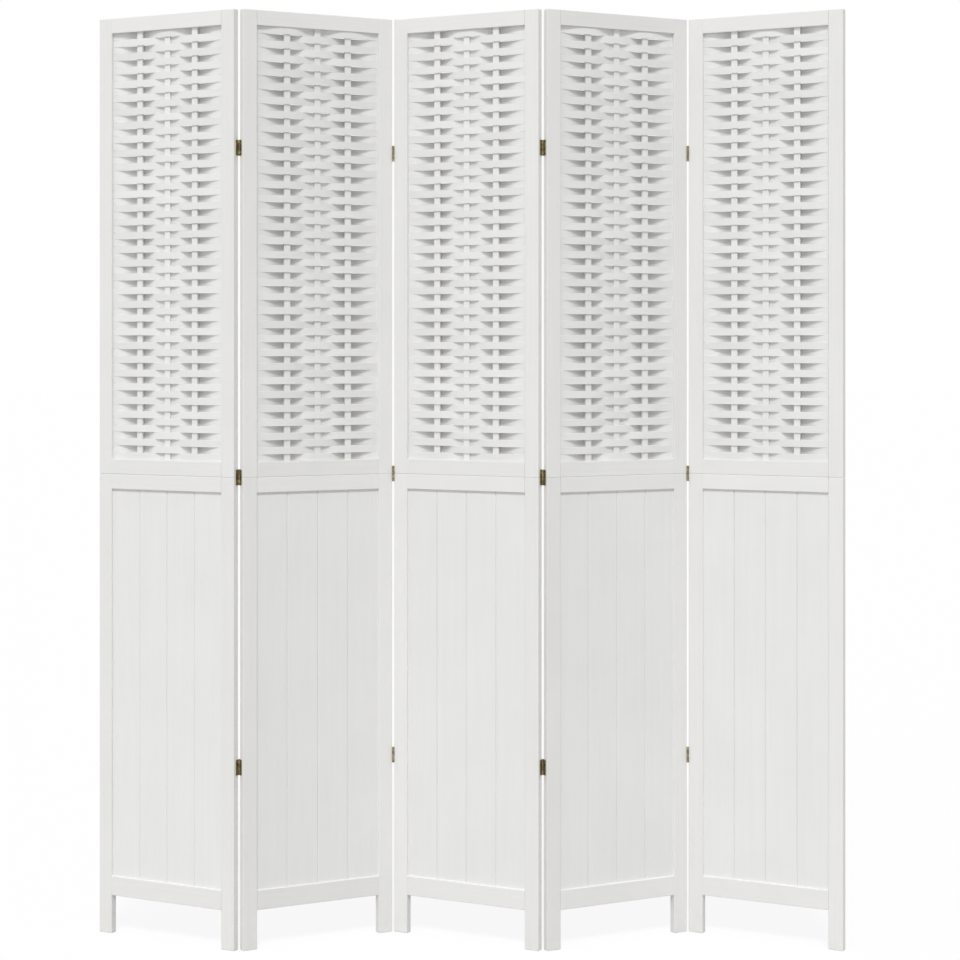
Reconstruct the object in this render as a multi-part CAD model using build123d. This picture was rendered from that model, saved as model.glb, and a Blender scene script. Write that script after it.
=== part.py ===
from build123d import *
import os
from math import atan2, cos, radians, sin, sqrt

os.makedirs("parts", exist_ok=True)

# A folding screen of narrow panels, hinged edge to edge and standing in a zigzag.
# Each panel is an upper frame with a basket weave, standing on a lower frame with a grooved board.
# Millimetres. The origin is on the floor under the middle of the screen, +Z is up, and -Y is to the front.
# A panel is built about its own middle: X along its width, -Y to its front, Z from the floor.

# The screen as a whole
panel_count = 5
screen_height = 1700.0
panel_width = 300.0
panel_thickness = 14.0
lower_height = 854.0
rest_turn = 28.0

# Frame members
stile_width = 28.0
rail_height = 28.0
foot_rail_height = 36.0
leg_height = 71.0
edge_radius = 1.2
tenon_thickness = 5.0
shoulder_margin = 2.0
joint_clearance = 0.1

# Dowels that join an upper frame to its lower frame
dowel_radius = 2.5
dowel_length = 36.0
dowel_wall = 1.9
dowel_chamfer = 0.8

# Basket weave
stick_count = 3
stick_width = 12.0
outer_stick_thickness = 5.8
middle_stick_thickness = 3.2
stick_insert = 8.0
stick_edge_radius = 0.6
slat_count = 62
slat_thickness = 2.0
slat_gap = 0.24
slat_insert = 5.0
slat_groove_clearance = 0.4
slat_flat_margin = 1.0
weave_clearance = 0.05

# Grooved board
board_thickness = 6.0
board_insert = 6.0
board_clearance = 0.15
plank_count = 4
vee_width = 3.0
vee_depth = 1.2

# Hinges
hinge_height = 28.0
foot_hinge_height = 330.0
top_hinge_drop = 250.0
leaf_thickness = 0.7
leaf_width = 8.0
leaf_gap = 0.3
leaf_corner_radius = 1.2
knuckle_radius = 1.85
knuckle_clearance = 0.05
knuckle_end_gap = 0.2
notch_clearance = 0.3
middle_knuckle_length = 10.0
pin_radius = 1.0
pin_clearance = 0.05
pin_head_radius = 1.5
pin_head_height = 0.6

# Hinge screws
screw_spread = 16.0
screw_length = 10.0
screw_head_radius = 2.2
screw_head_depth = 1.3
screw_shank_radius = 1.0
screw_tip_length = 2.5
screw_clearance = 0.03
recess_width = 0.5
recess_span = 2.6
recess_depth = 0.5

# Sizes that follow from the ones above
half_width = panel_width / 2
half_thickness = panel_thickness / 2
opening_width = panel_width - 2 * stile_width
weave_bottom = lower_height + rail_height
weave_top = screen_height - rail_height
board_bottom = leg_height + foot_rail_height
board_top = lower_height - rail_height
tenon_shoulder = board_insert + board_clearance + shoulder_margin
hinge_gap = 2 * leaf_thickness + leaf_gap
pin_offset = sqrt((knuckle_radius + knuckle_clearance) ** 2 - (hinge_gap / 2) ** 2)
hinge_heights = (foot_hinge_height, lower_height, screen_height - top_hinge_drop)
screw_reach = screw_length - leaf_thickness
dowel_x = half_width - screw_reach - dowel_wall - dowel_radius
tenon_length = dowel_x - dowel_radius - dowel_wall - opening_width / 2
turn = radians(rest_turn)
panel_pitch = (panel_width + hinge_gap) * cos(turn) + (panel_thickness + 2 * pin_offset) * sin(turn)


def span(a, b):
    """The two values in rising order."""
    return min(a, b), max(a, b)


def block(x, y, z):
    """A box between the low and high values given for each axis."""
    middles = [(low + high) / 2 for low, high in (x, y, z)]
    lengths = [high - low for low, high in (x, y, z)]
    return Pos(*middles) * Box(*lengths)


def upright_rod(radius, x, y, z):
    """A round rod along Z at x, y, between the low and high values of z."""
    low, high = z
    return Pos(x, y, (low + high) / 2) * Cylinder(radius, high - low)


def tenon(side, rail_z, clearance=0.0):
    """The stub on a rail's end that goes into a stile, or with a clearance the mortise for it."""
    shoulder = side * opening_width / 2
    tip = shoulder + side * (tenon_length + clearance)
    depth = tenon_thickness / 2 + clearance
    low, high = rail_z
    return block(
        span(shoulder - side * clearance, tip),
        (-depth, depth),
        (low + tenon_shoulder - clearance, high - tenon_shoulder + clearance),
    )


def dowel(side, clearance=0.0):
    """A dowel across the line between the frames, or with a clearance the hole for it."""
    reach = dowel_length / 2 + clearance
    dowel_z = (lower_height - reach, lower_height + reach)
    return upright_rod(dowel_radius + clearance, side * dowel_x, 0, dowel_z)


def stile(side, stile_z, rails_z, groove_z, groove_width, groove_depth):
    """An upright of a frame, grooved on its inner edge and mortised for the rails."""
    inner = side * opening_width / 2
    body = block(span(inner, side * half_width), (-half_thickness, half_thickness), stile_z)
    body = fillet(body.edges(), edge_radius)
    body -= block(
        span(inner - side * edge_radius, inner + side * groove_depth),
        (-groove_width / 2, groove_width / 2),
        groove_z,
    )
    for rail_z in rails_z:
        body -= tenon(side, rail_z, joint_clearance)
    return body - dowel(side, joint_clearance)


def rail(rail_z):
    """A crosspiece of a frame, with a tenon on each end."""
    body = block((-opening_width / 2, opening_width / 2), (-half_thickness, half_thickness), rail_z)
    body = fillet(body.edges().filter_by(Axis.X), edge_radius)
    for side in (-1, 1):
        body += tenon(side, rail_z)
    return body


def sticks():
    """The place of each upright stick across the opening, and its thickness, greater for the outermost two."""
    step = opening_width / (stick_count + 1)
    places = []
    for i in range(stick_count):
        outermost = i in (0, stick_count - 1)
        thickness = outer_stick_thickness if outermost else middle_stick_thickness
        places.append((-opening_width / 2 + step * (i + 1), thickness))
    return places


def stick(x, thickness, clearance=0.0):
    """An upright stick of the weave, or with a clearance the room for it in the rails."""
    width = stick_width / 2 + clearance
    depth = thickness / 2 + clearance
    reach = stick_insert + clearance
    return block((x - width, x + width), (-depth, depth), (weave_bottom - reach, weave_top + reach))


def bend(start, end, offset):
    """Two arcs from start to end that leave and arrive level, moved sideways by offset."""
    run = (end[0] - start[0]) / 2
    rise = (end[1] - start[1]) / 2
    slope = 2 * atan2(rise, run)
    first = (start[0], start[1] + offset)
    last = (end[0], end[1] + offset)
    middle = (start[0] + run - offset * sin(slope), start[1] + rise + offset * cos(slope))
    return [
        TangentArc([first, middle], tangent=(1, 0)),
        TangentArc([last, middle], tangent=(-1, 0)),
    ]


def slat_side(outer_side, offset):
    """One long side of a slat seen from above, from its left end to its right end."""
    flat = stick_width / 2 + slat_flat_margin
    end_x = opening_width / 2 + slat_insert
    edges = []
    here = (-opening_width / 2, 0.0)
    edges.append(Line((-end_x, offset), (here[0], offset)))
    for i, (x, thickness) in enumerate(sticks()):
        crest = thickness / 2 + weave_clearance + slat_thickness / 2
        y = crest * outer_side * (-1) ** i
        edges += bend(here, (x - flat, y), offset)
        edges.append(Line((x - flat, y + offset), (x + flat, y + offset)))
        here = (x + flat, y)
    edges += bend(here, (opening_width / 2, 0.0), offset)
    edges.append(Line((opening_width / 2, offset), (end_x, offset)))
    return edges


def slat(outer_side):
    """A woven slat with its lower edge at z 0: behind the first stick for 1, in front of it for -1."""
    end_x = opening_width / 2 + slat_insert
    near = slat_thickness / 2
    edges = slat_side(outer_side, -near) + slat_side(outer_side, near)
    edges.append(Line((-end_x, -near), (-end_x, near)))
    edges.append(Line((end_x, -near), (end_x, near)))
    return extrude(make_face(edges), amount=slat_pitch - slat_gap)


slat_pitch = (weave_top - weave_bottom) / slat_count
slat_shapes = {outer_side: slat(outer_side) for outer_side in (-1, 1)}


def weave_slats(number):
    """The slats of one panel from the top down, each passing the sticks the other way from its neighbours."""
    slats = []
    for i in range(slat_count):
        outer_side = 1 if (i + number) % 2 else -1
        low = weave_top - (i + 1) * slat_pitch + slat_gap / 2
        slats.append(Pos(0, 0, low) * slat_shapes[outer_side])
    return slats


def board():
    """The board of the lower frame, with a vee groove on both faces at each plank line."""
    reach_x = opening_width / 2 + board_insert
    low = board_bottom - board_insert
    high = board_top + board_insert
    body = block((-reach_x, reach_x), (-board_thickness / 2, board_thickness / 2), (low, high))
    step = opening_width / plank_count
    for i in range(1, plank_count):
        x = -opening_width / 2 + i * step
        for face in (-1, 1):
            surface = face * board_thickness / 2
            bottom = (x, surface - face * vee_depth)
            corners = [(x - vee_width / 2, surface), (x + vee_width / 2, surface), bottom]
            vee = make_face(Polyline(corners, close=True))
            body -= Pos(0, 0, low) * extrude(vee, amount=high - low)
    return body


def board_room():
    """The space that the board's edges take up in the frame around it, with clearance."""
    reach = board_insert + board_clearance
    depth = board_thickness / 2 + board_clearance
    return block(
        (-opening_width / 2 - reach, opening_width / 2 + reach),
        (-depth, depth),
        (board_bottom - reach, board_top + reach),
    )


def screw(clearance=0.0):
    """A countersunk screw with the top of its head at z 0, or with a clearance the hole for it."""
    shank = screw_shank_radius + clearance
    tip = -screw_length - clearance
    outline = Polyline(
        (0, 0),
        (screw_head_radius + clearance, 0),
        (shank, -screw_head_depth),
        (shank, tip + screw_tip_length),
        (0, tip),
        close=True,
    )
    return revolve(make_face(Plane.XZ * outline), axis=Axis.Z)


def screw_with_recess():
    """A screw with a cross recess in its head."""
    body = screw()
    for width, length in ((recess_width, recess_span), (recess_span, recess_width)):
        body -= Box(width, length, 2 * recess_depth)
    return body


def screw_places(side, back):
    """The places of one stile's hinge screws, each with its head outwards, flush with the leaf."""
    x = side * (half_width + leaf_thickness)
    y = back * (half_thickness - leaf_width / 2)
    return [
        Pos(x, y, height + step) * Rot(0, side * 90, 0)
        for height in hinge_heights
        for step in (-screw_spread / 2, screw_spread / 2)
    ]


def knuckle_spans(height):
    """The heights of the two outer knuckles and of the middle one between them."""
    low = height - hinge_height / 2
    high = height + hinge_height / 2
    middle = middle_knuckle_length / 2
    outer = [(low, height - middle - knuckle_end_gap), (height + middle + knuckle_end_gap, high)]
    return outer, [(height - middle, height + middle)]


def leaf(side, back, height):
    """A hinge leaf on the end of a panel: the leaf to the left of a fold has the two outer knuckles."""
    outer, inner = knuckle_spans(height)
    own, other = (outer, inner) if side > 0 else (inner, outer)
    end = side * half_width
    pin_x = side * (half_width + hinge_gap / 2)
    pin_y = back * (half_thickness + pin_offset)
    plate_z = (height - hinge_height / 2, height + hinge_height / 2)
    plate_edge = back * (half_thickness - leaf_width)
    body = block(span(end, end + side * leaf_thickness), span(plate_edge, pin_y), plate_z)
    far_corners = body.edges().filter_by(Axis.X).sort_by(lambda edge: abs(edge.center().Y - plate_edge))[:2]
    body = fillet(far_corners, leaf_corner_radius)
    for low, high in other:
        notch_z = (low - knuckle_end_gap, high + knuckle_end_gap)
        body -= upright_rod(knuckle_radius + notch_clearance, pin_x, pin_y, notch_z)
    for knuckle_z in own:
        body += upright_rod(knuckle_radius, pin_x, pin_y, knuckle_z)
    body -= upright_rod(pin_radius + pin_clearance, pin_x, pin_y, plate_z)
    return body - [place * screw(screw_clearance) for place in screw_places(side, back)]


def pin(height):
    """A hinge pin with a flat head at each end, standing on the Z axis."""
    low = height - hinge_height / 2
    high = height + hinge_height / 2
    body = upright_rod(pin_radius, 0, 0, (low, high))
    for head_z in ((low - pin_head_height, low), (high, high + pin_head_height)):
        body += upright_rod(pin_head_radius, 0, 0, head_z)
    return body


def panel_place(number):
    """Where a panel stands: odd panels turn their right end to the viewer, even panels their left end."""
    x = (number - (panel_count + 1) / 2) * panel_pitch
    return Pos(x, 0, 0) * Rot(0, 0, -rest_turn if number % 2 else rest_turn)


def fold_back(fold):
    """1 where a fold's pins stand behind the panels, -1 where they stand in front of them."""
    return 1 if fold % 2 else -1


def panel_ends(number):
    """The ends of a panel that carry hinges, each as its side and the side of its pins."""
    ends = []
    if number > 1:
        ends.append((-1, fold_back(number - 1)))
    if number < panel_count:
        ends.append((1, fold_back(number)))
    return ends


def export(name, place, shapes):
    """Writes the solids of one node at their place in the standing screen."""
    placed = [place * solid for shape in shapes for solid in shape.solids()]
    export_step(Compound(children=placed), f"parts/{name}.step")
    print(f"{name}: {len(placed)} solids")


def build_panel(number):
    """Writes every piece of one panel, without its hinges."""
    name = f"panel_{number}"
    place = panel_place(number)
    places = [at for side, back in panel_ends(number) for at in screw_places(side, back)]
    holes = [at * screw(screw_clearance) for at in places]
    lower_rails = [(leg_height, board_bottom), (board_top, lower_height)]
    upper_rails = [(lower_height, weave_bottom), (weave_top, screen_height)]
    board_reach = board_insert + board_clearance
    board_z = (board_bottom - board_reach, board_top + board_reach)
    board_groove = board_thickness + 2 * board_clearance
    slat_z = (weave_bottom, weave_top)
    slat_groove = slat_thickness + 2 * slat_groove_clearance
    slat_reach = slat_insert + slat_groove_clearance
    lower_z = (0, lower_height)
    upper_z = (lower_height, screen_height)
    lower = [stile(side, lower_z, lower_rails, board_z, board_groove, board_reach) for side in (-1, 1)]
    upper = [stile(side, upper_z, upper_rails, slat_z, slat_groove, slat_reach) for side in (-1, 1)]
    uprights = [fillet(stick(*at).edges().filter_by(Axis.Z), stick_edge_radius) for at in sticks()]
    stick_room = [stick(*at, joint_clearance) for at in sticks()]
    dowels = []
    for side in (-1, 1):
        rod = dowel(side)
        dowels.append(chamfer(rod.edges().filter_by(GeomType.CIRCLE), dowel_chamfer))

    export(f"{name}_lower_stiles", place, [body - holes for body in lower])
    export(f"{name}_lower_rails", place, [rail(z) - board_room() for z in lower_rails])
    export(f"{name}_board", place, [board()])
    export(f"{name}_upper_stiles", place, [body - holes for body in upper])
    export(f"{name}_upper_rails", place, [rail(z) - stick_room for z in upper_rails])
    export(f"{name}_weave_sticks", place, uprights)
    export(f"{name}_weave_slats", place, weave_slats(number))
    export(f"{name}_frame_dowels", place, dowels)
    export(f"{name}_hinge_screws", place, [at * screw_with_recess() for at in places])


def build_fold(fold):
    """Writes the hinges of one fold: the leaves on its two panels, and their pins."""
    back = fold_back(fold)
    left_place = panel_place(fold)
    right_place = panel_place(fold + 1)
    pin_place = left_place * Pos(half_width + hinge_gap / 2, back * (half_thickness + pin_offset), 0)
    export(f"fold_{fold}_left_leaves", left_place, [leaf(1, back, height) for height in hinge_heights])
    export(f"fold_{fold}_right_leaves", right_place, [leaf(-1, back, height) for height in hinge_heights])
    export(f"fold_{fold}_pins", pin_place, [pin(height) for height in hinge_heights])


for number in range(1, panel_count + 1):
    build_panel(number)
for fold in range(1, panel_count):
    build_fold(fold)

print(f"panel pitch {panel_pitch:.3f}, hinge gap {hinge_gap:.3f}, pin offset {pin_offset:.4f}")
print(f"slat pitch {slat_pitch:.3f}, opening {opening_width:.1f} wide")
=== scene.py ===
# %% [markdown]
# # A white folding screen with woven upper panels
# Five narrow wooden panels stand in a zigzag on their legs and fold on small butt hinges. The upper half of
# each panel is a basket weave of thin slats round three sticks, and the lower half is a grooved board.
# The measured solids come in as a fixed frame. Its outer box is kept, because the dressed model has to fill
# the same space.

import math
import random

import bmesh
import bpy
from mathutils import Matrix, Vector


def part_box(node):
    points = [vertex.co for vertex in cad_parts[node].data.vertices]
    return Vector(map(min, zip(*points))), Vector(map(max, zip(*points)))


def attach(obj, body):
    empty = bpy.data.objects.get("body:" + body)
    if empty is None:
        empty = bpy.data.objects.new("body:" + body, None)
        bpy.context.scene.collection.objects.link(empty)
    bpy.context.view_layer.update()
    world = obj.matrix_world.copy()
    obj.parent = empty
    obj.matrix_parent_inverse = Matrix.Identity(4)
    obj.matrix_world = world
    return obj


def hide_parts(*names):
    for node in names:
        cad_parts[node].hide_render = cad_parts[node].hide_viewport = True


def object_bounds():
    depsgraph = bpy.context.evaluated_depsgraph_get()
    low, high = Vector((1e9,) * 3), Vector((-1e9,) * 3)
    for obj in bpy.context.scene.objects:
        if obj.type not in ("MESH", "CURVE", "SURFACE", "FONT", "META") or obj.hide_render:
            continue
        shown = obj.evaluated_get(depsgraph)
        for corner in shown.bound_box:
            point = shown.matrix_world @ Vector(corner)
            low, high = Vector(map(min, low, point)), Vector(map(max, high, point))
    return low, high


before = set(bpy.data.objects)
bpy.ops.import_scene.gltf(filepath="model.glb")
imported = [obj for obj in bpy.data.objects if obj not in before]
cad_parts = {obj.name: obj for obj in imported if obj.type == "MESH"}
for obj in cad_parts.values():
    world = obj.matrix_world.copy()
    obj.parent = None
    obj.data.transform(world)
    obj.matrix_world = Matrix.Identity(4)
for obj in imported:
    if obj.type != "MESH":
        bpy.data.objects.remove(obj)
cad_box = [list(corner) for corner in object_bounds()]
print("size in metres:", [round(high - low, 4) for low, high in zip(*cad_box)])

# %% [markdown]
# ## Sizes
# A joiner marks out one panel and repeats it. These are that panel's sizes, in millimetres, with X across the
# panel, -Y to its front and Z up from the floor. Anything that the frame can tell is read from the frame.

# %% Panel sizes
MM = 0.001
panel_count = 5
rest_turn = math.radians(28)
panel_width = 300.0
panel_thickness = 14.0
lower_height = 854.0
screen_height = cad_box[1][2] / MM
stile_width = 28.0
rail_height = 28.0
foot_rail_height = 36.0
leg_height = 71.0
edge_radius = 1.2
board_half = 3.0
board_insert = 6.0
board_clearance = 0.15
slat_thickness = 2.0
slat_insert = 5.0
slat_room = 0.4
half_width = panel_width / 2
half_thickness = panel_thickness / 2
half_opening = half_width - stile_width
board_bottom = leg_height + foot_rail_height
board_top = lower_height - rail_height
board_reach = board_insert + board_clearance
weave_bottom = lower_height + rail_height
weave_top = screen_height - rail_height
print(f"screen {screen_height:.1f} high, each opening {2 * half_opening:.0f} wide")

# %% [markdown]
# ## Where a panel stands
# Each panel is modelled square to the axes, where cuts and measures are easy, and is turned into the zigzag
# at the very end. The board of a panel lies about the panel's middle, so the box of that node tells the
# place. The turn goes into the mesh itself and the objects stay at the origin.

# %% Place of a panel
def panel_place(number):
    """Takes a panel's own millimetres to its place in the standing screen."""
    low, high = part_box(f"panel_{number}_board")
    middle = (low + high) / 2
    turn = -rest_turn if number % 2 else rest_turn
    return Matrix.Translation((middle.x, middle.y, 0)) @ Matrix.Rotation(turn, 4, "Z") @ Matrix.Scale(MM, 4)


places = {number: panel_place(number) for number in range(1, panel_count + 1)}
print("panel middles:", [round(place.translation.x, 4) for place in places.values()])

# %% [markdown]
# ## Writing materials as sums
# Paint and metal are small variations about a colour: grain under the paint, brush lines, a patina. Such a
# finish is arithmetic on a few noise patterns, so one class lets a socket be used in ordinary arithmetic, and
# one method adds any other node. The finish then reads like a recipe.

# %% Sockets as numbers
class Wire:
    """A value that runs between nodes, used in ordinary arithmetic."""

    def __init__(self, finish, socket):
        self.finish = finish
        self.socket = socket

    def math(self, operation, *values):
        return self.finish.node("Math", {"operation": operation}, dict(enumerate(values)))

    def __add__(self, other):
        return self.math("ADD", self, other)

    def __sub__(self, other):
        return self.math("SUBTRACT", self, other)

    def __rsub__(self, other):
        return self.math("SUBTRACT", other, self)

    def __mul__(self, other):
        return self.math("MULTIPLY", self, other)

    def __truediv__(self, other):
        return self.math("DIVIDE", self, other)

    __radd__ = __add__
    __rmul__ = __mul__

    def clamp(self):
        """The value held between 0 and 1."""
        return self.finish.node("Clamp", {}, {0: self})


class Finish:
    """The node tree of a material or of the world."""

    def __init__(self, owner):
        owner.use_nodes = True
        self.owner = owner
        self.tree = owner.node_tree
        self.tree.nodes.clear()

    def node(self, kind, settings, inputs, out=0):
        """Any node: its settings are set first, then its sockets get values or links. Gives one output."""
        made = self.tree.nodes.new("ShaderNode" + kind)
        for key, value in settings.items():
            setattr(made, key, value)
        for key, value in inputs.items():
            if isinstance(value, Wire):
                self.tree.links.new(value.socket, made.inputs[key])
            else:
                made.inputs[key].default_value = value
        return Wire(self, made.outputs[out])

    def colour_mix(self, share, first, second):
        """A colour between two others."""
        return self.node("Mix", {"data_type": "RGBA"}, {0: share, 6: first, 7: second}, out=2)

    def stretch(self, vector, factors):
        """A vector with each axis scaled, so that a pattern is drawn out along one of them."""
        return self.node("VectorMath", {"operation": "MULTIPLY"}, {0: vector, 1: factors})

    def noise(self, vector, scale, detail=2.0, roughness=0.5):
        """Soft noise between 0 and 1."""
        values = {"Vector": vector, "Scale": scale, "Detail": detail, "Roughness": roughness}
        return self.node("TexNoise", {}, values)

    def output(self, shader, kind="OutputMaterial"):
        """Ends the tree in its output node."""
        made = self.tree.nodes.new("ShaderNode" + kind)
        self.tree.links.new(shader.socket, made.inputs["Surface"])
        return self.owner


def new_finish(name):
    """An empty material to build a finish in."""
    return Finish(bpy.data.materials.new(name))


print("node helpers ready")

# %% [markdown]
# ## White paint on wood
# The timbers carry a satin white paint, brushed or sprayed thin enough that the grain still shows as faint
# ridges. The grain has to run along each timber, also on the turned panels, so every piece carries an
# attribute with its own along, across and through distances in metres, and the patterns read that. A second
# attribute gives each piece its own slight tone, as boards from different stock have. Two touches are laid
# over the paint that aren't seen on the real screen: a grey tone where a piece is marked as hollow, which
# deepens the shade there to match the real one's, and very faint scuffs just above the floor.

# %% Painted hollow shade and scuffs
# Painted shade: the grey that marked hollows are mixed towards, so that they look as dark as shade makes
# them.
painted_shade_colour = (0.50, 0.49, 0.47, 1)
scuff_colour = (0.55, 0.52, 0.47, 1)
scuff_height = 0.045
scuff_share = 0.1


def with_painted_shade(finish, colour, hollow_shade, clouds):
    """The colour greyed in the hollows as painted shade, in patches that follow the clouds."""
    hollow = finish.node("Attribute", {"attribute_name": "hollow"}, {}, out="Fac")
    share = (hollow * hollow_shade * (0.6 + clouds * 0.8)).clamp()
    return finish.colour_mix(share, colour, painted_shade_colour)


def scuffed_colour(finish, colour):
    """The colour with worn marks close to the floor."""
    place = finish.node("TexCoord", {}, {}, out="Object")
    height = finish.node("SeparateXYZ", {}, {0: place}, out="Z")
    low_part = (1 - height / scuff_height).clamp()
    marks = ((finish.noise(place, 60, 4, 0.65) - 0.42) * 5).clamp()
    return finish.colour_mix(low_part * marks * scuff_share, colour, scuff_colour)


print("scuffs reach", scuff_height, "m up from the floor")

# %% [markdown]
# The paint itself is four patterns: the broad figure of the grain, its fine pores, clouds where the coat is
# thicker or thinner, and the slight orange peel of a sprayed coat. They shade the colour, vary the gloss and
# raise the surface. One function makes all four paints, and a recipe gives each its own white, grain and
# gloss. The grain scale counts streaks across a metre, and the grain depth is in metres.

# %% Painted wood
figure_along = 5
pore_stretch = (30, 1500, 1500)
cloud_scale = 7
peel_scale = 900
paint_relief = 0.35


def painted(name, white, shade, grain_scale, grain_depth, gloss, scuffed=False, hollow_shade=0.0):
    """Satin paint: white is the clean colour, shade its darkest streaks, and the last argument the share of
    painted shade in hollows.
    """
    finish = new_finish(name)
    along = finish.node("Attribute", {"attribute_name": "grain"}, {}, out="Vector")
    tone = finish.node("Attribute", {"attribute_name": "tone"}, {}, out="Fac")
    figure = finish.noise(finish.stretch(along, (figure_along, grain_scale, grain_scale)), 1, 5, 0.6)
    pores = finish.noise(finish.stretch(along, pore_stretch), 1, 2, 0.5)
    clouds = finish.noise(along, cloud_scale, 3, 0.55)
    peel = finish.noise(along, peel_scale, 2, 0.5)
    streak = 0.5 - tone * 0.3 + (figure - 0.5) * 0.9 + (clouds - 0.5) * 0.9 + (pores - 0.5) * 0.3
    colour = finish.colour_mix(streak.clamp(), (*white, 1), (*shade, 1))
    if scuffed:
        colour = scuffed_colour(finish, colour)
    if hollow_shade:
        colour = with_painted_shade(finish, colour, hollow_shade, clouds)
    roughness = gloss + (clouds - 0.5) * 0.16 + (figure - 0.5) * 0.14
    relief = figure * 0.55 + pores * 0.2 + peel * 0.25
    normal = finish.node("Bump", {}, {"Strength": paint_relief, "Distance": grain_depth, "Height": relief})
    values = {"Base Color": colour, "Roughness": roughness, "Normal": normal}
    return finish.output(finish.node("BsdfPrincipled", {}, values))


# The hollow share of board and slats is painted shade: their grooves and their faces behind the sticks are
# greyed darker.
recipes = {
    "frame_paint": {
        "white": (0.85, 0.845, 0.83),
        "shade": (0.785, 0.78, 0.76),
        "grain_scale": 190,
        "grain_depth": 0.0005,
        "gloss": 0.40,
        "scuffed": True,
    },
    "board_paint": {
        "white": (0.845, 0.843, 0.835),
        "shade": (0.785, 0.782, 0.77),
        "grain_scale": 120,
        "grain_depth": 0.0004,
        "gloss": 0.42,
        "hollow_shade": 0.25,
    },
    "stick_paint": {
        "white": (0.85, 0.848, 0.84),
        "shade": (0.79, 0.787, 0.775),
        "grain_scale": 260,
        "grain_depth": 0.0004,
        "gloss": 0.42,
    },
    "slat_paint": {
        "white": (0.85, 0.85, 0.845),
        "shade": (0.775, 0.773, 0.765),
        "grain_scale": 330,
        "grain_depth": 0.0005,
        "gloss": 0.44,
        "hollow_shade": 0.6,
    },
}
paints = {name: painted(name, **recipe) for name, recipe in recipes.items()}
print("paints:", sorted(paints))

# %% [markdown]
# ## Bronze, brass and bare wood
# The hinges are steel with an antique bronze finish: a dull olive brown, with a lighter metal where hands and
# the folding have rubbed it. A broken noise mask mixes the two, and the worn part is also smoother. Pins and
# screws get more wear than the leaves. The dowels are never painted: they sit in their holes and keep the
# colour of beech, with dark flecks.

# %% Metal and bare wood
def aged_metal(name, dark, rubbed, wear):
    """Antique metal: a dark skin, rubbed through to a brighter one over the given share."""
    finish = new_finish(name)
    place = finish.node("TexCoord", {}, {}, out="Object")
    patches = finish.noise(place, 160, 5, 0.65)
    scratches = finish.noise(finish.stretch(place, (1800, 1800, 140)), 1, 2, 0.5)
    worn = ((patches - 0.58 + wear) * 5 + (scratches - 0.5) * 0.8).clamp()
    colour = finish.colour_mix(worn, (*dark, 1), (*rubbed, 1))
    relief = patches * 0.6 + scratches * 0.4
    normal = finish.node("Bump", {}, {"Strength": 0.3, "Distance": 0.0002, "Height": relief})
    values = {"Base Color": colour, "Metallic": 1.0, "Roughness": 0.55 - worn * 0.2, "Normal": normal}
    return finish.output(finish.node("BsdfPrincipled", {}, values))


def bare_beech(name):
    """Unpainted beech with its short dark flecks, running up the dowel."""
    finish = new_finish(name)
    place = finish.node("TexCoord", {}, {}, out="Object")
    figure = finish.noise(finish.stretch(place, (420, 420, 14)), 1, 4, 0.6)
    flecks = ((finish.noise(finish.stretch(place, (1400, 1400, 330)), 1, 1, 0.5) - 0.6) * 8).clamp()
    colour = finish.colour_mix(figure, (0.64, 0.43, 0.25, 1), (0.47, 0.29, 0.15, 1))
    colour = finish.colour_mix(flecks * 0.5, colour, (0.24, 0.13, 0.07, 1))
    normal = finish.node("Bump", {}, {"Strength": 0.4, "Distance": 0.0003, "Height": figure})
    values = {"Base Color": colour, "Roughness": 0.6 + flecks * 0.15, "Normal": normal}
    return finish.output(finish.node("BsdfPrincipled", {}, values))


metals = {
    "left_leaves": aged_metal("hinge_bronze", (0.23, 0.195, 0.12), (0.56, 0.48, 0.30), 0.12),
    "pins": aged_metal("pin_bronze", (0.28, 0.235, 0.14), (0.62, 0.53, 0.33), 0.16),
    "hinge_screws": aged_metal("screw_bronze", (0.26, 0.215, 0.12), (0.62, 0.52, 0.31), 0.20),
    "frame_dowels": bare_beech("bare_wood"),
}
metals["right_leaves"] = metals["left_leaves"]
dressed = 0
for node_name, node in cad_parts.items():
    for ending, material in metals.items():
        if node_name.endswith(ending):
            node.data.materials.clear()
            node.data.materials.append(material)
            dressed += 1
print("metal and wood finishes on", dressed, "solids")

# %% [markdown]
# ## The joiner's operations
# Every timber starts as a squared block. Its edges are eased with a bevel, and grooves are sawn by cutting
# the mesh along the groove's two sides and pushing the strip between them inwards. Those are short functions
# here, and the timbers below are made with them.

# %% Blocks, cuts and grooves
stock = random.Random(28)
bevel_segments = 3
same_place = 1e-3


def verts_of(geometry):
    """The vertices among mixed geometry."""
    return [part for part in geometry if isinstance(part, bmesh.types.BMVert)]


def edges_along(shape, axis):
    """The edges that run along an axis."""
    return [edge for edge in shape.edges if abs((edge.verts[0].co - edge.verts[1].co)[axis]) > 1]


def block(x, y, z):
    """A new mesh holding one box between a low and a high value on each axis."""
    shape = bmesh.new()
    verts = bmesh.ops.create_cube(shape, size=1)["verts"]
    bmesh.ops.scale(shape, vec=[high - low for low, high in (x, y, z)], verts=verts)
    bmesh.ops.translate(shape, vec=[(high + low) / 2 for low, high in (x, y, z)], verts=verts)
    return shape


def ease(shape, edges, radius):
    """Rounds edges over."""
    bmesh.ops.bevel(
        shape, geom=edges, offset=radius, segments=bevel_segments, profile=0.5, affect="EDGES", material=-1
    )


def cut(shape, axis, value):
    """Cuts the whole mesh across one axis and keeps both halves joined."""
    normal = [float(i == axis) for i in range(3)]
    point = [value * i for i in normal]
    geometry = shape.verts[:] + shape.edges[:] + shape.faces[:]
    bmesh.ops.bisect_plane(shape, geom=geometry, dist=1e-5, plane_co=point, plane_no=normal)


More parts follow.
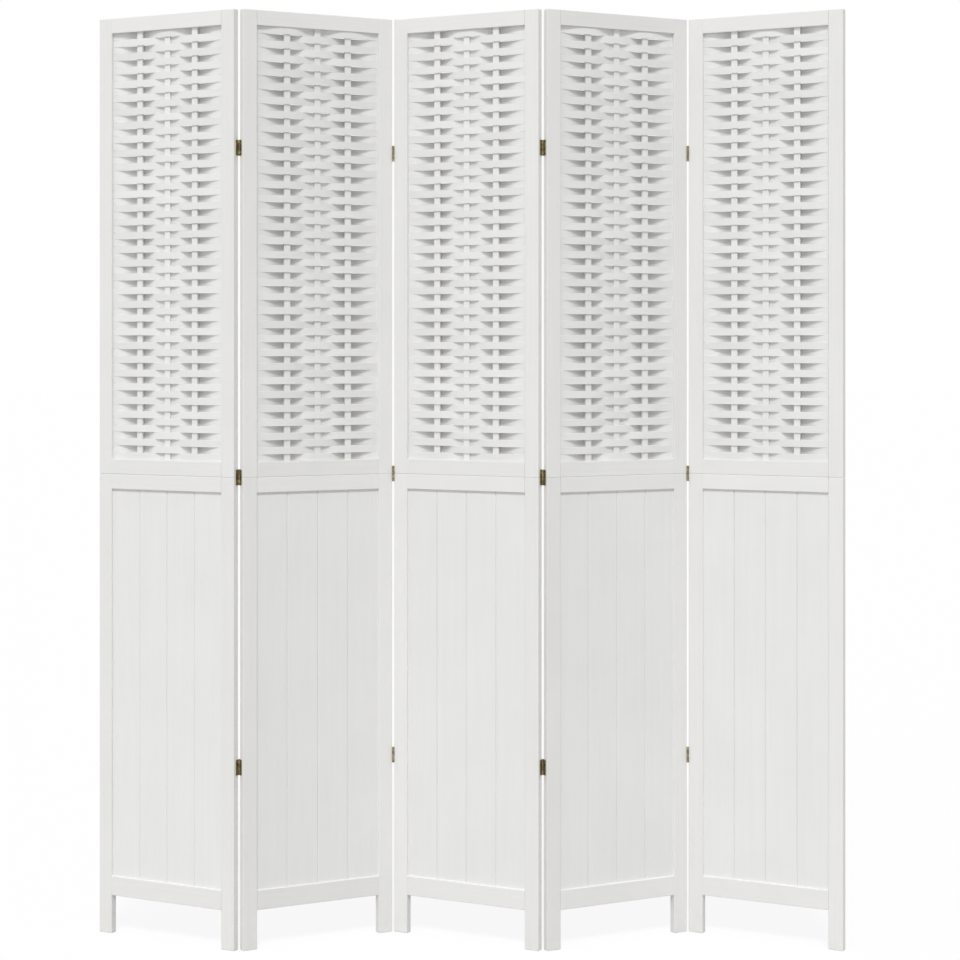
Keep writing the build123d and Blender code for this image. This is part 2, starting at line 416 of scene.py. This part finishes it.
def sink(shape, axis, side, level, limits, depth):
    """Pushes in the faces that lie at a level of an axis, within limits on the two other axes."""
    others = [i for i in range(3) if i != axis]
    for other, (low, high) in zip(others, limits):
        cut(shape, other, low)
        cut(shape, other, high)
    chosen = []
    for face in shape.faces:
        middle = face.calc_center_median()
        inside = all(low < middle[other] < high for other, (low, high) in zip(others, limits))
        if inside and abs(middle[axis] - level) < same_place and face.normal[axis] * side > 0.5:
            chosen.append(face)
    made = bmesh.ops.extrude_face_region(shape, geom=chosen)["geom"]
    inward = Vector([-side * depth * float(i == axis) for i in range(3)])
    bmesh.ops.translate(shape, vec=inward, verts=verts_of(made))


print("block, ease, cut and sink ready")

# %% [markdown]
# ## From a mesh to a finished piece
# A finished piece gets its grain and tone, is turned into the zigzag, rides on its panel's body and stands
# for the solid of the same piece. Each piece takes its grain from its own spot of the stock, so no two match.
# The printed gap is how far its corners lie from those of the solid that it stands for.

# %% Grain, place and body
stock_reach = 50


def mark_grain(shape, verts, axis):
    """Writes how far each vertex lies along, across and through the wood, and one tone for the lot."""
    grain = shape.verts.layers.float_vector.get("grain") or shape.verts.layers.float_vector.new("grain")
    tone = shape.verts.layers.float.get("tone") or shape.verts.layers.float.new("tone")
    start = Vector([stock.uniform(0, stock_reach) for _ in range(3)])
    own_tone = stock.uniform(-1, 1)
    order = [axis] + [i for i in range(3) if i != axis]
    for vert in verts:
        vert[grain] = start + Vector([vert.co[i] for i in order]) * MM
        vert[tone] = own_tone


def settle(shape, name, number, part, slot):
    """Makes the mesh a piece of one panel that stands for the panel's solid of that part."""
    bmesh.ops.recalc_face_normals(shape, faces=shape.faces)
    shape.transform(places[number])
    mesh = bpy.data.meshes.new(name)
    shape.to_mesh(mesh)
    shape.free()
    mesh.materials.append(paints[slot])
    piece = bpy.data.objects.new(name, mesh)
    bpy.context.scene.collection.objects.link(piece)
    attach(piece, f"panel_{number}")
    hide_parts(f"panel_{number}_{part}")
    return piece


def off_by(pieces, node_name):
    """How far the corners of these pieces' common box lie from the solid's, in millimetres."""
    corners = [vert.co for piece in pieces for vert in piece.data.vertices]
    low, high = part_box(node_name)
    gaps = []
    for i in range(3):
        values = [corner[i] for corner in corners]
        gaps += [abs(min(values) - low[i]), abs(max(values) - high[i])]
    return round(max(gaps) / MM, 2)


side_names = {-1: "left", 1: "right"}
print("pieces are placed on", panel_count, "panels")

# %% [markdown]
# ## Stiles
# A stile is an upright of a frame: a long square block with eased arrises and a groove up its inner edge. In
# the lower frame the groove takes the board, and in the upper frame it takes the ends of the slats. The lower
# stiles run down past the foot rail as legs. The groove could be a boolean cut, but pushing in a strip of
# faces keeps clean quads.

# %% Make the stiles
stile_kinds = {
    "lower": {
        "z": (0, lower_height),
        "groove_z": (board_bottom - board_reach, board_top + board_reach),
        "groove_half": board_half + board_clearance,
        "groove_depth": board_reach,
    },
    "upper": {
        "z": (lower_height, screen_height),
        "groove_z": (weave_bottom, weave_top),
        "groove_half": slat_thickness / 2 + slat_room,
        "groove_depth": slat_insert + slat_room,
    },
}


def stile(side, kind):
    """One stile with its groove, on the left or right side of a panel."""
    inner = side * half_opening
    shape = block(sorted((inner, side * half_width)), (-half_thickness, half_thickness), kind["z"])
    ease(shape, shape.edges[:], edge_radius)
    across = (-kind["groove_half"], kind["groove_half"])
    sink(shape, 0, -side, inner, [across, kind["groove_z"]], kind["groove_depth"])
    mark_grain(shape, shape.verts, 2)
    return shape


for level, kind in stile_kinds.items():
    for number in places:
        pieces = []
        for side, side_name in side_names.items():
            name = f"panel_{number}_{level}_stile_{side_name}"
            pieces.append(settle(stile(side, kind), name, number, f"{level}_stiles", "frame_paint"))
    print(f"{level} stiles, off by {off_by(pieces, f'panel_{number}_{level}_stiles')} mm")

# %% [markdown]
# ## Rails
# The rails run between the stiles, flush with them, and only their long arrises are eased, so a hairline
# shows where a rail butts against a stile. The lower frame's rails are grooved for the board. The upper
# frame's rails have a pocket for each stick. A rail ends at the stile's face here, because its tenon is
# hidden inside.

# %% Make the rails
stick_half_width = 6.0
stick_half_thicknesses = (2.9, 1.6, 2.9)
stick_insert = 8.0
stick_clearance = 0.1
stick_step = 2 * half_opening / (len(stick_half_thicknesses) + 1)
sticks = [((i + 1) * stick_step - half_opening, half) for i, half in enumerate(stick_half_thicknesses)]


def rail(z):
    """A plain rail between the stiles, with its long arrises eased."""
    shape = block((-half_opening, half_opening), (-half_thickness, half_thickness), z)
    ease(shape, edges_along(shape, 0), edge_radius)
    return shape


def board_rail(z, side):
    """A rail of the lower frame: side 1 is grooved on its top, -1 on its underside."""
    shape = rail(z)
    level = max(z) if side > 0 else min(z)
    half_groove = board_half + board_clearance
    room = [(-half_opening, half_opening), (-half_groove, half_groove)]
    sink(shape, 2, side, level, room, board_reach)
    return shape


def weave_rail(z, side):
    """A rail of the upper frame, with a pocket for each stick on its top for 1, on its underside for -1."""
    shape = rail(z)
    level = max(z) if side > 0 else min(z)
    width = stick_half_width + stick_clearance
    for x, half in sticks:
        depth = half + stick_clearance
        sink(shape, 2, side, level, [(x - width, x + width), (-depth, depth)], stick_insert)
    return shape


rail_kinds = [
    ("lower_rails", "lower_rail_foot", board_rail, (leg_height, board_bottom), 1),
    ("lower_rails", "lower_rail_top", board_rail, (board_top, lower_height), -1),
    ("upper_rails", "upper_rail_bottom", weave_rail, (lower_height, weave_bottom), 1),
    ("upper_rails", "upper_rail_top", weave_rail, (weave_top, screen_height), -1),
]
for part, kind_name, make, z, side in rail_kinds:
    for number in places:
        shape = make(z, side)
        mark_grain(shape, shape.verts, 0)
        settle(shape, f"panel_{number}_{kind_name}", number, part, "frame_paint")
    print(kind_name, "made for", len(places), "panels")

# %% [markdown]
# ## Grooved boards
# The lower panel is a single thin board with three vee grooves on each face, so that it looks like four
# planks. Each groove is three cuts: the two outer ones stay on the face and the middle one is pushed in.

# %% Make the boards
plank_count = 4
vee_half_width = 1.5
vee_depth = 1.2


def grooved_board():
    """A board with a vee groove on both faces at each plank line."""
    reach = half_opening + board_insert
    height = (board_bottom - board_insert, board_top + board_insert)
    shape = block((-reach, reach), (-board_half, board_half), height)
    # The groove bottoms are marked as hollow, so the paint greys them there as painted shade.
    hollow = shape.verts.layers.float.new("hollow")
    step = 2 * half_opening / plank_count
    for i in range(1, plank_count):
        x = i * step - half_opening
        for offset in (-vee_half_width, 0, vee_half_width):
            cut(shape, 0, x + offset)
        for vert in shape.verts:
            if abs(vert.co.x - x) < same_place:
                vert.co.y -= math.copysign(vee_depth, vert.co.y)
                vert[hollow] = 1.0
    return shape


for number in places:
    shape = grooved_board()
    mark_grain(shape, shape.verts, 2)
    piece = settle(shape, f"panel_{number}_grooved_board", number, "board", "board_paint")
    print(f"board {number}, off by {off_by([piece], f'panel_{number}_board')} mm")

# %% [markdown]
# ## Sticks
# Three flat sticks stand in each upper frame and the slats pass in front of and behind them. They are planed
# strips with softly rounded long edges. The middle one is made thinner here. That is a guess from the shadows
# beside it, which are narrower on the real screen than the ones beside the outer sticks.

# %% Make the sticks
stick_edge_radius = 0.6
for number in places:
    pieces = []
    for i, (x, half) in enumerate(sticks):
        shape = block(
            (x - stick_half_width, x + stick_half_width),
            (-half, half),
            (weave_bottom - stick_insert, weave_top + stick_insert),
        )
        ease(shape, edges_along(shape, 2), stick_edge_radius)
        mark_grain(shape, shape.verts, 2)
        name = f"panel_{number}_weave_stick_{i + 1}"
        pieces.append(settle(shape, name, number, "weave_sticks", "stick_paint"))
    print(f"sticks {number}, off by {off_by(pieces, f'panel_{number}_weave_sticks')} mm")

# %% [markdown]
# ## Woven slats
# A slat is a thin strip, bent in front of one stick and behind the next, and its neighbours pass the sticks
# the other way. Between the sticks it bends in two equal arcs, and it lies flat where it crosses a stick. It
# could be a curve with a bevel, but a strip cut into sections and pushed sideways has few faces, and there
# are hundreds of slats. Thin wood never bends quite alike, so each slat gets its own small bow between the
# sticks, its own tilt and its own tone.

# %% Line of a slat
slat_count = 62
slat_gap = 0.24
flat_half = stick_half_width + 1.0
weave_clearance = 0.05
slat_pitch = (weave_top - weave_bottom) / slat_count
bend_steps = 6


def slat_bends(outer_side):
    """The bends of a slat from left to right, each with its start and its end."""
    bends = []
    here = (-half_opening, 0.0)
    for i, (x, half) in enumerate(sticks):
        crest = half + weave_clearance + slat_thickness / 2
        y = crest * outer_side * (-1) ** i
        bends.append((here, (x - flat_half, y)))
        here = (x + flat_half, y)
    bends.append((here, (half_opening, 0.0)))
    return bends


def slat_line(x, bends):
    """How far a slat lies from the panel's middle plane at x, on flats and on bends of two equal arcs."""
    y = 0.0
    for (start_x, start_y), (end_x, end_y) in bends:
        if x <= start_x:
            return start_y
        run = (end_x - start_x) / 2
        rise = (end_y - start_y) / 2
        radius = (run * run + rise * rise) / (2 * abs(rise))
        if x <= start_x + run:
            drop = radius - math.sqrt(radius**2 - (x - start_x) ** 2)
            return start_y + math.copysign(drop, rise)
        if x <= end_x:
            drop = radius - math.sqrt(radius**2 - (end_x - x) ** 2)
            return end_y - math.copysign(drop, rise)
        y = end_y
    return y


print(f"slat pitch {slat_pitch:.3f} mm, first bend {slat_bends(1)[0]}")

# %% [markdown]
# The strip is cut at the ends of every flat and at even steps along every bend. One straight strip is made,
# copied for each slat of the panel and bent there. The small bow is nought at the sticks and at the stiles,
# where the wood is held, and stays inside the room that the weave leaves. Where a slat passes behind a stick,
# its face towards the stick is marked as hollow. The light here leaves that deep place paler than it is on
# the real screen, and the grey tone makes up for part of it.

# %% Make the slats
bow_most = 0.22
tilt_most = 0.10
lift_most = 0.05
hollow_falloff = 3
sharp_edge = math.radians(40)


def slat_strip():
    """A straight strip, cut into sections."""
    reach = half_opening + slat_insert
    half_strip = (slat_pitch - slat_gap) / 2
    shape = block((-reach, reach), (-slat_thickness / 2, slat_thickness / 2), (-half_strip, half_strip))
    for (start_x, _), (end_x, _) in slat_bends(1):
        for i in range(bend_steps + 1):
            cut(shape, 0, start_x + (end_x - start_x) * i / bend_steps)
    return shape


def bend_slat(verts, hollow, outer_side, z):
    """Bends a strip into the weave at a height, with its own bow, tilt and lift, and marks its hollows."""
    bends = slat_bends(outer_side)
    bows = [stock.uniform(-bow_most, bow_most) for _ in bends]
    tilt = stock.uniform(-tilt_most, tilt_most)
    lift = stock.uniform(-lift_most, lift_most)
    crest = max(abs(end[1]) for _, end in bends)
    for vert in verts:
        x = vert.co.x
        y = slat_line(x, bends)
        # The face towards the stick is marked for painted shade, strongest at the crest.
        if y * vert.co.y < 0:
            vert[hollow] = (abs(y) / crest) ** hollow_falloff
        vert.co.y += y
        for bow, ((start_x, _), (end_x, _)) in zip(bows, bends):
            if start_x < x < end_x:
                share = math.sin(math.pi * (x - start_x) / (end_x - start_x)) ** 2
                vert.co.y += share * (bow + tilt * math.copysign(1, vert.co.z))
        vert.co.z += z + lift


def panel_slats(number):
    """All slats of a panel in one mesh, from the top down."""
    shape = slat_strip()
    hollow = shape.verts.layers.float.new("hollow")
    mark_grain(shape, shape.verts, 0)
    strip = shape.verts[:] + shape.edges[:] + shape.faces[:]
    for i in range(slat_count):
        made = bmesh.ops.duplicate(shape, geom=strip)["geom"]
        verts = verts_of(made)
        outer_side = 1 if (i + number) % 2 else -1
        bend_slat(verts, hollow, outer_side, weave_top - (i + 0.5) * slat_pitch)
        mark_grain(shape, verts, 0)
    bmesh.ops.delete(shape, geom=verts_of(strip), context="VERTS")
    for face in shape.faces:
        face.smooth = True
    for edge in shape.edges:
        edge.smooth = edge.calc_face_angle(0) < sharp_edge
    return shape


for number in places:
    shape = panel_slats(number)
    face_count = len(shape.faces)
    piece = settle(shape, f"panel_{number}_woven_slats", number, "weave_slats", "slat_paint")
    print(f"slats {number}: {face_count} faces, off by {off_by([piece], f'panel_{number}_weave_slats')} mm")

# %% [markdown]
# ## Floor and light
# The picture is a studio one: a white ground that runs into a white background. Making it with strong light
# would bleach the paint, so the floor and the world are lit plainly, and only what the camera and reflections
# see of them is white. The floor keeps part of its own shading, and so a faint shadow under the screen.

# %% Floor
floor_half = 60.0
floor_white_share = 0.86
bounce_colour = (0.52, 0.52, 0.52, 1)
seen_colour = (0.92, 0.92, 0.92, 1)


def seen_directly(finish):
    """1 for a ray that comes from the camera, a reflection or glass, and otherwise 0."""
    camera = finish.node("LightPath", {}, {}, out="Is Camera Ray")
    glossy = finish.node("LightPath", {}, {}, out="Is Glossy Ray")
    through = finish.node("LightPath", {}, {}, out="Is Transmission Ray")
    return (camera + glossy + through).clamp()


def white_floor():
    """A pale floor that looks white and still takes a faint shadow."""
    finish = new_finish("studio_floor")
    seen = seen_directly(finish)
    white = finish.node("Emission", {}, {"Color": (1, 1, 1, 1), "Strength": 1.0})
    matt = finish.node("BsdfDiffuse", {}, {"Color": finish.colour_mix(seen, bounce_colour, seen_colour)})
    return finish.output(finish.node("MixShader", {}, {0: seen * floor_white_share, 1: matt, 2: white}))


floor_shape = bmesh.new()
bmesh.ops.create_grid(floor_shape, x_segments=1, y_segments=1, size=floor_half)
floor_mesh = bpy.data.meshes.new("floor")
floor_shape.to_mesh(floor_mesh)
floor_shape.free()
floor_mesh.materials.append(white_floor())
floor = bpy.data.objects.new("floor", floor_mesh)
bpy.context.scene.collection.objects.link(floor)
print("floor", 2 * floor_half, "m wide")

# %% [markdown]
# A high key from the front throws short shadows under the rails and the slats, and none to the sides. A very
# soft one from the left makes the panels that face left a little brighter than the ones that face right. The
# sky gives the rest, evenly, and a weak lamp from behind keeps the back readable. A sun lamp lights the near
# and the far panels alike, and its angle sets how soft the shadows are.

# %% Lamps and sky
ambient = 0.45
lamps = {
    "key": {"from": (-0.035, -1.0, 1.19), "level": 0.58, "angle": 14},
    "side": {"from": (-0.94, -0.342, 0.364), "level": 0.25, "angle": 100},
    "back": {"from": (0.5, 0.9, 0.8), "level": 0.10, "angle": 40},
}
for name, lamp in lamps.items():
    light = bpy.data.lights.new(name, "SUN")
    light.energy = math.pi * lamp["level"]
    light.angle = math.radians(lamp["angle"])
    lamp_object = bpy.data.objects.new(name, light)
    lamp_object.rotation_euler = Vector(lamp["from"]).to_track_quat("Z", "Y").to_euler()
    bpy.context.scene.collection.objects.link(lamp_object)

world = bpy.data.worlds.new("studio")
bpy.context.scene.world = world
sky = Finish(world)
strength = ambient + seen_directly(sky) * (1 - ambient)
sky.output(sky.node("Background", {}, {"Color": (1, 1, 1, 1), "Strength": strength}), kind="OutputWorld")
print("lamps:", sorted(lamps), "sky level", ambient)

# %% [markdown]
# ## Camera
# The photograph was taken straight on with a long lens, about four metres away, at about the height of a
# person's chest, and the frame was moved down to take in the feet. A level camera with a vertical shift does
# the same and keeps the stiles upright.

# %% Camera
camera_data = bpy.data.cameras.new("camera")
camera_data.sensor_width = 36.0
camera_data.lens = 86.36
camera_data.shift_x = 0.0137
camera_data.shift_y = -0.1399
camera_data.clip_end = 200.0
camera = bpy.data.objects.new("camera", camera_data)
camera.location = (0.0, -4.2287, 1.0921)
camera.rotation_euler = (math.radians(90), 0, 0)
bpy.context.scene.collection.objects.link(camera)
bpy.context.scene.camera = camera
bpy.context.scene.view_settings.view_transform = "Standard"
print("camera at", tuple(camera.location))
